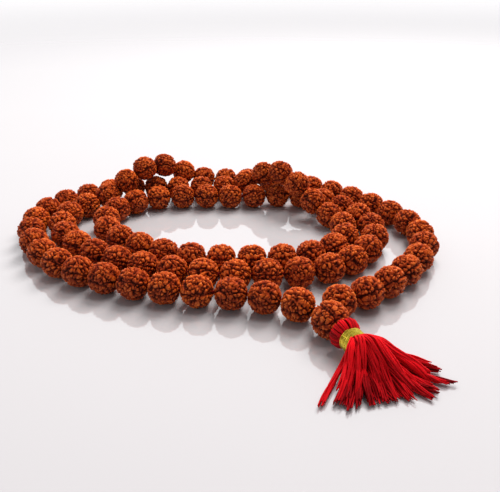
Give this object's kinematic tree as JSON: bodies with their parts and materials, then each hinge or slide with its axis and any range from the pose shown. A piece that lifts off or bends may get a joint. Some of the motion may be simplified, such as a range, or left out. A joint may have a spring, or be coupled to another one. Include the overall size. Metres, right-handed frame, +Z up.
{
  "type": "mala prayer beads",
  "caption": "Closed string of rudraksha seeds laid in a coil, joined at a larger guru bead with a short red tassel bound in gold thread, for counting prayers.",
  "frame": {"origin": "on the table, under the middle of the whole model's outline", "axes": "+Z up from the table, +X to the right across the coil, the tassel points to the front, -Y and a little +X"},
  "size_m": [0.1238, 0.1212, 0.0159],
  "materials": {
    "rudraksha_seed": "dried seed, deeply grooved and pitted, orange-brown ridges with dark hollows, satin",
    "string_cotton": "twisted red cotton cord, matt",
    "tassel_thread": "bright red cotton and rayon yarn, soft sheen, cut ends",
    "gold_thread": "metallic gold thread wound in turns, shiny"
  },
  "bodies": {
    "string": {"stringing_thread": "string_cotton", "bead_run_1": "rudraksha_seed", "bead_run_2": "rudraksha_seed", "bead_run_3": "rudraksha_seed", "bead_run_4": "rudraksha_seed", "bead_run_5": "rudraksha_seed", "bead_run_6": "rudraksha_seed"},
    "tassel_link": {"tassel_neck": "tassel_thread"},
    "tassel": {"tassel_head": "tassel_thread", "gold_thread_band": "gold_thread", "tassel_skirt": "tassel_thread"},
    "guru": {"guru_bead": "rudraksha_seed"},
    "bead_01_body": {"bead_01": "rudraksha_seed"},
    "bead_02_body": {"bead_02": "rudraksha_seed"},
    "bead_03_body": {"bead_03": "rudraksha_seed"},
    "bead_04_body": {"bead_04": "rudraksha_seed"},
    "bead_05_body": {"bead_05": "rudraksha_seed"},
    "bead_06_body": {"bead_06": "rudraksha_seed"},
    "bead_07_body": {"bead_07": "rudraksha_seed"},
    "bead_08_body": {"bead_08": "rudraksha_seed"},
    "bead_09_body": {"bead_09": "rudraksha_seed"},
    "bead_10_body": {"bead_10": "rudraksha_seed"},
    "bead_11_body": {"bead_11": "rudraksha_seed"},
    "bead_12_body": {"bead_12": "rudraksha_seed"},
    "bead_13_body": {"bead_13": "rudraksha_seed"},
    "bead_14_body": {"bead_14": "rudraksha_seed"},
    "bead_15_body": {"bead_15": "rudraksha_seed"},
    "bead_16_body": {"bead_16": "rudraksha_seed"},
    "bead_17_body": {"bead_17": "rudraksha_seed"},
    "bead_18_body": {"bead_18": "rudraksha_seed"},
    "bead_19_body": {"bead_19": "rudraksha_seed"},
    "bead_20_body": {"bead_20": "rudraksha_seed"},
    "bead_21_body": {"bead_21": "rudraksha_seed"},
    "bead_22_body": {"bead_22": "rudraksha_seed"},
    "bead_23_body": {"bead_23": "rudraksha_seed"},
    "bead_72_body": {"bead_72": "rudraksha_seed"},
    "bead_73_body": {"bead_73": "rudraksha_seed"},
    "bead_74_body": {"bead_74": "rudraksha_seed"},
    "bead_75_body": {"bead_75": "rudraksha_seed"},
    "bead_76_body": {"bead_76": "rudraksha_seed"},
    "bead_77_body": {"bead_77": "rudraksha_seed"},
    "bead_78_body": {"bead_78": "rudraksha_seed"},
    "bead_79_body": {"bead_79": "rudraksha_seed"},
    "bead_80_body": {"bead_80": "rudraksha_seed"},
    "bead_81_body": {"bead_81": "rudraksha_seed"},
    "bead_82_body": {"bead_82": "rudraksha_seed"},
    "bead_83_body": {"bead_83": "rudraksha_seed"},
    "bead_84_body": {"bead_84": "rudraksha_seed"},
    "bead_85_body": {"bead_85": "rudraksha_seed"},
    "bead_86_body": {"bead_86": "rudraksha_seed"},
    "bead_87_body": {"bead_87": "rudraksha_seed"},
    "bead_88_body": {"bead_88": "rudraksha_seed"},
    "bead_89_body": {"bead_89": "rudraksha_seed"},
    "bead_90_body": {"bead_90": "rudraksha_seed"},
    "bead_91_body": {"bead_91": "rudraksha_seed"},
    "bead_92_body": {"bead_92": "rudraksha_seed"},
    "bead_93_body": {"bead_93": "rudraksha_seed"},
    "bead_94_body": {"bead_94": "rudraksha_seed"}
  },
  "joints": [
    {"name": "lift_tassel", "type": "hinge", "parent": "tassel_link", "child": "tassel", "pos_m": [0.02733, -0.03798, 0.00406], "axis": [-0.8988, -0.4384, 0], "range_deg": [0, 20]},
    {"name": "swing_tassel", "type": "hinge", "parent": "string", "child": "tassel_link", "pos_m": [0.02733, -0.03798, 0.00406], "axis": [0, 0, 1], "range_deg": [-15, 15]},
    {"name": "guru_turn", "type": "hinge", "parent": "string", "child": "guru", "pos_m": [0.02569, -0.03461, 0.00406], "axis": [0.4384, -0.8988, 0], "continuous": true},
    {"name": "turn_bead_01", "type": "hinge", "parent": "string", "child": "bead_01_body", "pos_m": [0.01918, -0.02816, 0.00374], "axis": [-0.9048, 0.4258, 0], "continuous": true},
    {"name": "turn_bead_02", "type": "hinge", "parent": "string", "child": "bead_02_body", "pos_m": [0.01161, -0.02505, 0.00374], "axis": [-0.9425, 0.3343, 0], "continuous": true},
    {"name": "turn_bead_03", "type": "hinge", "parent": "string", "child": "bead_03_body", "pos_m": [0.00366, -0.02332, 0.00374], "axis": [-0.9962, 0.0869, 0], "continuous": true},
    {"name": "turn_bead_04", "type": "hinge", "parent": "string", "child": "bead_04_body", "pos_m": [-0.00449, -0.02241, 0.00374], "axis": [-0.9909, 0.1347, 0], "continuous": true},
    {"name": "turn_bead_05", "type": "hinge", "parent": "string", "child": "bead_05_body", "pos_m": [-0.01255, -0.02094, 0.00374], "axis": [-0.9748, 0.2231, 0], "continuous": true},
    {"name": "turn_bead_06", "type": "hinge", "parent": "string", "child": "bead_06_body", "pos_m": [-0.02046, -0.01882, 0.00374], "axis": [-0.9557, 0.2944, 0], "continuous": true},
    {"name": "turn_bead_07", "type": "hinge", "parent": "string", "child": "bead_07_body", "pos_m": [-0.02822, -0.01618, 0.00374], "axis": [-0.9366, 0.3505, 0], "continuous": true},
    {"name": "turn_bead_08", "type": "hinge", "parent": "string", "child": "bead_08_body", "pos_m": [-0.03567, -0.0128, 0.00374], "axis": [-0.8813, 0.4726, 0], "continuous": true},
    {"name": "turn_bead_09", "type": "hinge", "parent": "string", "child": "bead_09_body", "pos_m": [-0.04248, -0.00829, 0.00374], "axis": [-0.7786, 0.6276, 0], "continuous": true},
    {"name": "turn_bead_10", "type": "hinge", "parent": "string", "child": "bead_10_body", "pos_m": [-0.04835, -0.00262, 0.00374], "axis": [-0.6542, 0.7564, 0], "continuous": true},
    {"name": "turn_bead_11", "type": "hinge", "parent": "string", "child": "bead_11_body", "pos_m": [-0.05313, 0.00401, 0.00374], "axis": [-0.5098, 0.8603, 0], "continuous": true},
    {"name": "turn_bead_12", "type": "hinge", "parent": "string", "child": "bead_12_body", "pos_m": [-0.05657, 0.01141, 0.00374], "axis": [-0.3293, 0.9442, 0], "continuous": true},
    {"name": "turn_bead_13", "type": "hinge", "parent": "string", "child": "bead_13_body", "pos_m": [-0.05808, 0.01938, 0.00374], "axis": [-0.0397, 0.9992, 0], "continuous": true},
    {"name": "turn_bead_14", "type": "hinge", "parent": "string", "child": "bead_14_body", "pos_m": [-0.0571, 0.02741, 0.00374], "axis": [0.2793, 0.9602, 0], "continuous": true},
    {"name": "turn_bead_15", "type": "hinge", "parent": "string", "child": "bead_15_body", "pos_m": [-0.0534, 0.03456, 0.00374], "axis": [0.6215, 0.7834, 0], "continuous": true},
    {"name": "turn_bead_16", "type": "hinge", "parent": "string", "child": "bead_16_body", "pos_m": [-0.04755, 0.0402, 0.00374], "axis": [0.8057, 0.5923, 0], "continuous": true},
    {"name": "turn_bead_17", "type": "hinge", "parent": "string", "child": "bead_17_body", "pos_m": [-0.04091, 0.04501, 0.00374], "axis": [0.8137, 0.5813, 0], "continuous": true},
    {"name": "turn_bead_18", "type": "hinge", "parent": "string", "child": "bead_18_body", "pos_m": [-0.03356, 0.04821, 0.00374], "axis": [0.9801, 0.1984, 0], "continuous": true},
    {"name": "turn_bead_19", "type": "hinge", "parent": "string", "child": "bead_19_body", "pos_m": [-0.02555, 0.04809, 0.00374], "axis": [0.974, -0.2267, 0], "continuous": true},
    {"name": "turn_bead_20", "type": "hinge", "parent": "string", "child": "bead_20_body", "pos_m": [-0.01745, 0.04726, 0.00374], "axis": [0.9997, 0.0242, 0], "continuous": true},
    {"name": "turn_bead_21", "type": "hinge", "parent": "string", "child": "bead_21_body", "pos_m": [-0.00927, 0.04762, 0.00374], "axis": [0.998, 0.0638, 0], "continuous": true},
    {"name": "turn_bead_22", "type": "hinge", "parent": "string", "child": "bead_22_body", "pos_m": [-0.00107, 0.04789, 0.00385], "axis": [0.9996, 0.0011, 0.0275], "continuous": true},
    {"name": "turn_bead_23", "type": "hinge", "parent": "string", "child": "bead_23_body", "pos_m": [0.00657, 0.04749, 0.00599], "axis": [0.8646, -0.098, 0.4928], "continuous": true},
    {"name": "turn_bead_72", "type": "hinge", "parent": "string", "child": "bead_72_body", "pos_m": [-0.03993, 0.03666, 0.00514], "axis": [0.7675, 0.5559, 0.3192], "continuous": true},
    {"name": "turn_bead_73", "type": "hinge", "parent": "string", "child": "bead_73_body", "pos_m": [-0.0342, 0.04131, 0.00858], "axis": [0.6291, 0.5777, 0.5201], "continuous": true},
    {"name": "turn_bead_74", "type": "hinge", "parent": "string", "child": "bead_74_body", "pos_m": [-0.02865, 0.04641, 0.01142], "axis": [0.726, 0.6656, 0.173], "continuous": true},
    {"name": "turn_bead_75", "type": "hinge", "parent": "string", "child": "bead_75_body", "pos_m": [-0.02252, 0.05144, 0.01089], "axis": [0.7696, 0.5617, -0.3037], "continuous": true},
    {"name": "turn_bead_76", "type": "hinge", "parent": "string", "child": "bead_76_body", "pos_m": [-0.01617, 0.05482, 0.0073], "axis": [0.7783, 0.2627, -0.5703], "continuous": true},
    {"name": "turn_bead_77", "type": "hinge", "parent": "string", "child": "bead_77_body", "pos_m": [-0.00895, 0.05637, 0.00435], "axis": [0.9819, 0.117, -0.149], "continuous": true},
    {"name": "turn_bead_78", "type": "hinge", "parent": "string", "child": "bead_78_body", "pos_m": [-0.00083, 0.05681, 0.00374], "axis": [0.9999, -0.0106, 0], "continuous": true},
    {"name": "turn_bead_79", "type": "hinge", "parent": "string", "child": "bead_79_body", "pos_m": [0.00735, 0.05635, 0.00374], "axis": [0.9948, -0.1016, 0], "continuous": true},
    {"name": "turn_bead_80", "type": "hinge", "parent": "string", "child": "bead_80_body", "pos_m": [0.0154, 0.0549, 0.00374], "axis": [0.9679, -0.2513, 0], "continuous": true},
    {"name": "turn_bead_81", "type": "hinge", "parent": "string", "child": "bead_81_body", "pos_m": [0.0231, 0.05217, 0.00374], "axis": [0.9096, -0.4156, 0], "continuous": true},
    {"name": "turn_bead_82", "type": "hinge", "parent": "string", "child": "bead_82_body", "pos_m": [0.03025, 0.04822, 0.00374], "axis": [0.8365, -0.548, 0], "continuous": true},
    {"name": "turn_bead_83", "type": "hinge", "parent": "string", "child": "bead_83_body", "pos_m": [0.0368, 0.04331, 0.00374], "axis": [0.7614, -0.6483, 0], "continuous": true},
    {"name": "turn_bead_84", "type": "hinge", "parent": "string", "child": "bead_84_body", "pos_m": [0.04276, 0.03769, 0.00374], "axis": [0.6913, -0.7225, 0], "continuous": true},
    {"name": "turn_bead_85", "type": "hinge", "parent": "string", "child": "bead_85_body", "pos_m": [0.04816, 0.03154, 0.00374], "axis": [0.6265, -0.7794, 0], "continuous": true},
    {"name": "turn_bead_86", "type": "hinge", "parent": "string", "child": "bead_86_body", "pos_m": [0.05291, 0.02487, 0.00374], "axis": [0.5318, -0.8469, 0], "continuous": true},
    {"name": "turn_bead_87", "type": "hinge", "parent": "string", "child": "bead_87_body", "pos_m": [0.05649, 0.01754, 0.00374], "axis": [0.3414, -0.9399, 0], "continuous": true},
    {"name": "turn_bead_88", "type": "hinge", "parent": "string", "child": "bead_88_body", "pos_m": [0.05808, 0.00959, 0.00374], "axis": [0.0444, -0.999, 0], "continuous": true},
    {"name": "turn_bead_89", "type": "hinge", "parent": "string", "child": "bead_89_body", "pos_m": [0.05689, 0.00163, 0.00374], "axis": [-0.3329, -0.943, 0], "continuous": true},
    {"name": "turn_bead_90", "type": "hinge", "parent": "string", "child": "bead_90_body", "pos_m": [0.05324, -0.00564, 0.00374], "axis": [-0.5572, -0.8304, 0], "continuous": true},
    {"name": "turn_bead_91", "type": "hinge", "parent": "string", "child": "bead_91_body", "pos_m": [0.04827, -0.01215, 0.00374], "axis": [-0.6545, -0.7561, 0], "continuous": true},
    {"name": "turn_bead_92", "type": "hinge", "parent": "string", "child": "bead_92_body", "pos_m": [0.04259, -0.01804, 0.00374], "axis": [-0.732, -0.6813, 0], "continuous": true},
    {"name": "turn_bead_93", "type": "hinge", "parent": "string", "child": "bead_93_body", "pos_m": [0.0361, -0.02298, 0.00374], "axis": [-0.8516, -0.5241, 0], "continuous": true},
    {"name": "turn_bead_94", "type": "hinge", "parent": "string", "child": "bead_94_body", "pos_m": [0.02885, -0.02677, 0.00374], "axis": [-0.9166, -0.3998, 0], "continuous": true}
  ]
}
